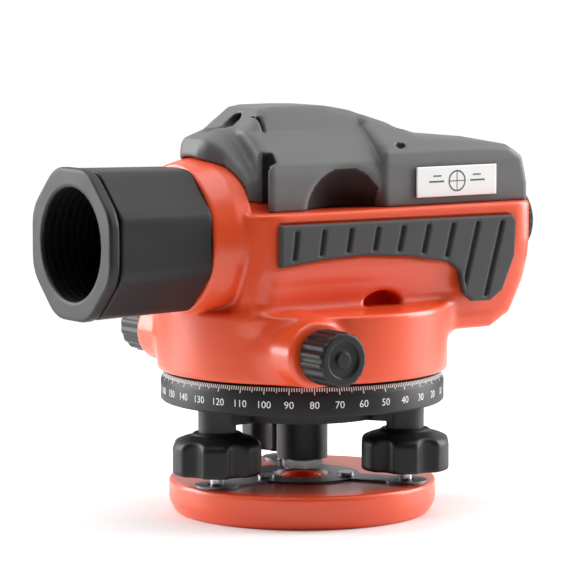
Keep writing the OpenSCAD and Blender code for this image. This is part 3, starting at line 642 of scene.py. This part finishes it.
def octagon(u, v, flat, r):
    """Eight-sided outline with its corners cut to radius r; flat is the distance to each side."""
    rad = np.hypot(u, v)
    straight = rad * np.cos(fold(np.arctan2(v, u), 8)) - flat
    return smax(straight, rad - r, 0.7)


def shade(x, y, z):
    w = z - AXIS_Z
    swell = (x - 55) / 42.6
    outer = octagon(y, w, 25.05, 26.55) - swell
    d = slab(outer, x, 55.2, 92.6, 0.6)
    d = smin(d, slab(disc(y, w, 24.6), x, 55.2, 96), 0.3)
    d = smin(d, slab(octagon(y, w, 25.6, 26.6) - swell, x, 93.6, 97.6, 1.0), 0.3)
    d = smax(d, -slab(disc(y, w, 19.9), x, 62, 120), 0.8)
    d = smax(d, -slab(disc(y, w, 20.9), x, 62, 95.6), 0.3)
    d = np.maximum(d, -slab(disc(y, w, 19.6), x, 50, 64))
    return d


def shade_lining(x, y, z):
    """Matt sleeve inside the shade, with light-trap rings."""
    r = np.hypot(y, z - AXIS_Z)
    d = slab(np.abs(r - 20.35) - 0.55, x, 62.2, 95.4, 0.2)
    ring = np.abs((x - 64) % 3.0 - 1.5) - 0.55
    return smax(d, -np.maximum(np.maximum(ring, r - 20.4), x - 93), 0.2)


carved("shade", shade, (55, -27.1, 74.6), (97.7, 27.1, 128.8), 0.6, "black_metal",
       "alidade", "sun_shade")
carved("shade_lining", shade_lining, (62, -21, 80.7), (95.6, 21, 122.7), 0.5, "flock",
       "alidade")

# ------------------------------------------------------------------ base plate

# place and angle of each foot screw
FOOT_R = 39.5
FEET = [(*polar(FOOT_R, a, 0)[:2], a) for a in (5, 125, 245)]


def base_plate(x, y, z):
    r = np.hypot(x, y)
    prof = smax(smax(r - 48.6, (r * 0.78 - z * 0.626) - (46.0 * 0.78), 2.0), z - 12.2, 1.8)
    d = smax(prof, -z, 0.4)
    d = np.maximum(d, -(r - 7.94))
    d = smax(d, -slab(np.abs(r - 27) - 9, z, -10, 1.5, 0.3), 0.3)
    for fx, fy, a in FEET:
        socket = np.sqrt((x - fx) ** 2 + (y - fy) ** 2 + (z - 8.3) ** 2) - 4.25
        d = np.maximum(d, -socket)
        d = smax(d, -slab(disc(x - fx, y - fy, 5), z, 9.5, 30), 0.3)
        c, s = math.cos(math.radians(a)), math.sin(math.radians(a))
        d = np.maximum(d, -slab(disc(x - 22 * c, y - 22 * s, 1.6), z, 5, 30))
    return d


carved("base", base_plate, (-48.7, -48.7, 0), (48.7, 48.7, 12.3), 0.6, "paint", "base",
       "base_plate")

# ------------------------------------------------------------------ knobs

KNOB_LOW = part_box("foot_knob_a")[0][2] / MM
KNOB_R = 16.4
KNOB_LOBES = 6
KNOB_PHASE = 19


def foot_knob(x, y, z):
    r = np.hypot(x, y)
    a = fold(np.arctan2(y, x), KNOB_LOBES)
    px, py = r * np.cos(a), r * np.sin(a)
    w = z - KNOB_LOW
    head = slab(r - KNOB_R, w, 0, 14.2, 1.5)
    head = smax(head, (r * 0.42 + w * 0.908) - (KNOB_R * 0.42 + 11.4 * 0.908), 2.0)
    flute = np.hypot(px - KNOB_R - 3.0, py) - 5.2
    head = smax(head, -flute, 1.2)
    neck = slab(r - 8.6, w, 8, 14.8, 0.5)
    d = smin(head, neck, 1.5)
    d = np.maximum(d, -slab(r - 7, w, 11, 40))
    d = np.maximum(d, -slab(r - 3.7, w, -10, 40))
    # cast ring on the underside
    d = smax(d, -slab(np.abs(r - 9.2) - 2.6, w, -5, 1.6, 0.4), 0.4)
    return d


verts, quads = carve(foot_knob, (-16.5, -16.5, KNOB_LOW), (16.5, 16.5, KNOB_LOW + 15), 0.45)
for letter, (fx, fy, a) in zip("abc", FEET):
    t = math.radians(a + KNOB_PHASE)
    turn = np.array([[math.cos(t), -math.sin(t), 0], [math.sin(t), math.cos(t), 0], [0, 0, 1]])
    placed = verts @ turn.T + np.array([fx, fy, 0])
    body = "foot_c" if letter == "c" else "knob_" + letter
    piece(build("lobed_knob_" + letter, placed, quads, "knob"), body, "knob", "foot_knob_" + letter)


def tangent_knob(x, y, z):
    """Knob on the +Y end; its mate is the same turned about."""
    px, pz = x - WORM[0], z - WORM[1]
    r = np.hypot(px, pz)
    b = fold(np.arctan2(pz, px), 16)
    d = slab(r - 9.7, y, 51.6, 65.4, 1.4)
    flute = np.hypot(r * np.cos(b) - 10.6, r * np.sin(b)) - 1.45
    d = smax(d, -smax(flute, 52.6 - y, 0.5), 0.5)
    d = smax(d, -slab(np.abs(r - 4.6) - 1.7, y, 64.4, 70, 0.3), 0.4)
    d = np.maximum(d, -slab(r - 2, y, 40, 61))
    return d


verts, quads = carve(tangent_knob, (18, 51.5, 53), (38, 65.5, 73.2), 0.32)
piece(build("ribbed_knob_left", verts, quads, "knob"), "tangent_screw", "knob", "tangent_knob_left")
other = verts * np.array([-1, -1, 1]) + np.array([2 * WORM[0], 0, 0])
piece(build("ribbed_knob_right", other, quads, "knob"), "tangent_screw", "knob", "tangent_knob_right")


def focus_knob(x, y, z):
    px, pz, w = x - FOCUS[0], z - FOCUS[1], -y
    r = np.hypot(px, pz)
    b = fold(np.arctan2(pz, px), 32)
    d = slab(r - 15.6, w, 34.2, 51.2, 1.3)
    flute = np.hypot(r * np.cos(b) - 16.3, r * np.sin(b)) - 1.2
    d = smax(d, -smax(flute, smax(36.5 - w, w - 49.5, 0.3), 0.4), 0.4)
    d = np.maximum(d, -slab(r - 11, w, 50.2, 60))
    d = np.maximum(d, -slab(r - 2, w, 30, 50))
    return d


carved("focusing_knob", focus_knob, (-22, -51.4, 77.6), (10, -34, 109.4), 0.4, "knob",
       "focus_drive", "focus_knob")

# ------------------------------------------------------------------ graduated circle


def join_boxes(boxes):
    """Vertices and faces of many eight-cornered boxes; each is bottom four corners, then top four."""
    verts, faces = [], []
    for corners in boxes:
        k = len(verts)
        verts += corners
        faces += [(k, k + 3, k + 2, k + 1), (k + 4, k + 5, k + 6, k + 7)]
        faces += [(k + i, k + (i + 1) % 4, k + 4 + (i + 1) % 4, k + 4 + i) for i in range(4)]
    return verts, faces


def lathe(name, outline, material, steps):
    """Closed ring turned about Z from an outline of (radius, height) points."""
    n = len(outline)
    verts = [polar(r, 360 * i / steps, h) for i in range(steps) for r, h in outline]
    faces = []
    for i in range(steps):
        j = (i + 1) % steps
        for k in range(n):
            m = (k + 1) % n
            faces.append((i * n + k, i * n + m, j * n + m, j * n + k))
    ob = build(name, verts, np.array(faces), material, smooth=False)
    smooth_by_angle(ob, 35)
    return ob


def smooth_by_angle(ob, degrees):
    """Smooth shading with sharp edges where faces meet at more than the angle."""
    me = ob.data
    bm = bmesh.new()
    bm.from_mesh(me)
    bmesh.ops.remove_doubles(bm, verts=bm.verts, dist=1e-7)
    bmesh.ops.recalc_face_normals(bm, faces=bm.faces)
    for f in bm.faces:
        f.smooth = True
    for e in bm.edges:
        e.smooth = len(e.link_faces) != 2 or e.calc_face_angle(0) < math.radians(degrees)
    bm.to_mesh(me)
    bm.free()


CIRCLE_R = 51.5
CIRCLE = [(30, 44), (44.2, 44), (45, 43), (45, 40.8), (50.9, 40.8), (51.5, 41.4), (51.5, 48.2), (51.35, 48.6),
          (50.3, 51.3), (49.9, 51.6), (48.2, 51.6), (47.4, 47), (45, 46.6), (30, 46.6)]
piece(lathe("graduated_circle", CIRCLE, "black_metal", 360), "circle", "black_metal", "horizontal_circle")

# direction of the zero, from +X; the figures run clockwise seen from above
FIRST_FIGURE = 140.0
TICK_TOP = 51.1
TICK_HALF_WIDTH = 0.20


def bevel_radius(z):
    """Radius of the circle's bevel at a height."""
    return 51.35 - (z - 48.6) * 0.389


ticks = []
for degree in range(360):
    a = FIRST_FIGURE - degree
    low = TICK_TOP - (2.4 if degree % 10 == 0 else 1.8 if degree % 5 == 0 else 1.3)
    corners = []
    for h in (low, TICK_TOP):
        r = bevel_radius(h)
        for dr, side in ((-0.1, -1), (0.05, -1), (0.05, 1), (-0.1, 1)):
            corners.append(polar(r + dr, a + side * TICK_HALF_WIDTH, h))
    ticks.append(corners)
verts, faces = join_boxes(ticks)
tick_ring = build("degree_lines", verts, faces, "white", smooth=False)
smooth_by_angle(tick_ring, 10)
piece(tick_ring, "circle", "white")


def figures(text, size, depth):
    """Flat solid figures centred on the origin, in millimetres."""
    cu = bpy.data.curves.new("figures", "FONT")
    cu.body = text
    cu.size = size * MM
    cu.extrude = depth * MM
    cu.align_x = "CENTER"
    cu.resolution_u = 3
    ob = bpy.data.objects.new("figures", cu)
    scene.collection.objects.link(ob)
    bpy.context.view_layer.update()
    me = ob.evaluated_get(bpy.context.evaluated_depsgraph_get()).to_mesh()
    verts = [tuple(c / MM for c in v.co) for v in me.vertices]
    faces = [tuple(p.vertices) for p in me.polygons]
    bpy.data.objects.remove(ob)
    return verts, faces


FIGURE_Z = 43.9
all_verts, all_faces = [], []
for number in range(0, 360, 10):
    verts, faces = figures(str(number), 3.6, 0.05)
    mid = FIRST_FIGURE - number
    k = len(all_verts)
    for u, v, w in verts:
        all_verts.append(polar(CIRCLE_R + w, mid + math.degrees(u / CIRCLE_R), FIGURE_Z + v))
    all_faces += [tuple(i + k for i in f) for f in faces]
figure_ring = build("circle_figures", all_verts, all_faces, "white", smooth=False)
smooth_by_angle(figure_ring, 10)
piece(figure_ring, "circle", "white")

# ------------------------------------------------------------------ label and its pictogram

LABEL_MIDDLE = (-46.1, 119.9)
label = build("label", *carve(lambda x, y, z: slab(poly(x, z, LABEL) + 0.2, y, 31.2, 31.85, 0.15),
                              (-65, 31, 113.5), (-27.5, 32, 126.5), 0.3), "label")
piece(label, "alidade", "label", "label_plate")


def pictogram(x, y, z):
    """Sighting cross inside a ring between two level marks."""
    px, pz = x - LABEL_MIDDLE[0], z - LABEL_MIDDLE[1]
    r = np.hypot(px, pz)
    ring = np.abs(r - 3.6) - 0.32
    cross = np.minimum(bar(px, pz, (-3.2, 0), (3.2, 0), 0.22), bar(px, pz, (0, -3.2), (0, 3.2), 0.22))
    marks = np.minimum(bar(np.abs(px), pz, (6.2, 0), (12.4, 0), 0.34),
                       bar(np.abs(px), pz, (7.4, 2.0), (10.6, 2.0), 0.3))
    flat = np.minimum(np.minimum(ring, cross), marks)
    return slab(flat, y, 31.75, 31.9)


mark = build("label_pictogram", *carve(pictogram, (-63, 31.6, 114), (-32, 32, 124), 0.14), "print",
             smooth=False)
piece(mark, "alidade", "print")

# ------------------------------------------------------------------ screws of the cover


def cap_screw(cx, cy, top, r, head, turn):
    """Cross-recessed screw pointing down, its head's top at the height top."""
    def shape(x, y, z):
        px, py = x - cx, y - cy
        rr = np.hypot(px, py)
        a = math.radians(turn)
        u, v = np.abs(px * math.cos(a) + py * math.sin(a)), np.abs(py * math.cos(a) - px * math.sin(a))
        d = slab(rr - r, z, top - head, top, 0.35)
        cross = np.minimum(slab(np.maximum(v - 0.32, u - 1.7), z, top - 1.0, top + 1),
                           slab(np.maximum(u - 0.32, v - 1.7), z, top - 1.0, top + 1))
        return np.minimum(smax(d, -cross, 0.15), slab(rr - 1.5, z, top - 8, top - head + 0.3))
    return shape


screw_verts, screw_quads, total = [], [], 0
for i, (sx, sy) in enumerate(COVER_SCREWS):
    v, q = carve(cap_screw(sx, sy, 132.3, 2.6, 1.8, 20 + 37 * i),
                 (sx - 3, sy - 3, 124), (sx + 3, sy + 3, 132.5), 0.18)
    screw_verts.append(v)
    screw_quads.append(q + total)
    total += len(v)
screws = build("cross_screws", np.concatenate(screw_verts), np.concatenate(screw_quads), "steel")
piece(screws, "alidade", "steel", "cover_screws")
